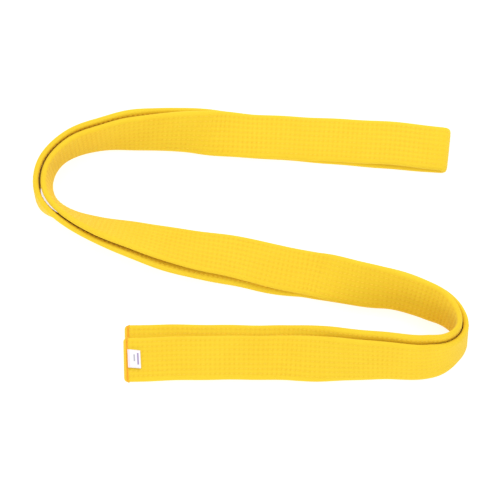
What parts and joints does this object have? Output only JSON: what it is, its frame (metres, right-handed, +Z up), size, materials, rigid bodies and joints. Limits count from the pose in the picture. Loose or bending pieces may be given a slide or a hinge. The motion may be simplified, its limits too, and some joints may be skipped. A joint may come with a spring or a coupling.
{
  "type": "martial arts belt",
  "caption": "Padded and quilted yellow martial arts belt, folded in half and laid in an S, with hemmed ends and a small woven label.",
  "frame": {"origin": "on the floor, under the middle of the laid belt's box", "axes": "+X along the runs of the S, from the hemmed ends' side towards the fold's side; +Y across the runs, from the run with the ends towards the run with the fold; +Z up"},
  "size_m": [0.3802, 0.2492, 0.0475],
  "materials": {
    "cover_cloth": "matte woven cotton, bright yellow",
    "hem_cloth": "matte woven cotton, bright yellow",
    "core_padding": "undyed cotton padding",
    "quilting_thread": "yellow cotton thread",
    "seam_thread": "deeper yellow cotton thread",
    "label_tape": "white woven satin tape with plain grey bars"
  },
  "bodies": {
    "belt": {"cover": "cover_cloth", "core_ply_face": "core_padding", "core_ply_back": "core_padding", "stitch_row_1": "quilting_thread", "stitch_row_2": "quilting_thread", "stitch_row_3": "quilting_thread", "stitch_row_4": "quilting_thread", "stitch_row_5": "quilting_thread", "stitch_row_6": "quilting_thread", "stitch_row_7": "quilting_thread", "stitch_row_8": "quilting_thread", "end_hem_1": "hem_cloth", "end_hem_2": "hem_cloth", "end_stitch_1_face": "seam_thread", "end_stitch_1_back": "seam_thread", "end_stitch_2_face": "seam_thread", "end_stitch_2_back": "seam_thread"},
    "label": {"label": "label_tape"}
  },
  "joints": [
    {"name": "label_flip", "type": "hinge", "parent": "belt", "child": "label", "pos_m": [-0.10618, -0.10378, 0.0127], "axis": [0.0272, -0.9996, 0], "range_deg": [0, 170]}
  ]
}
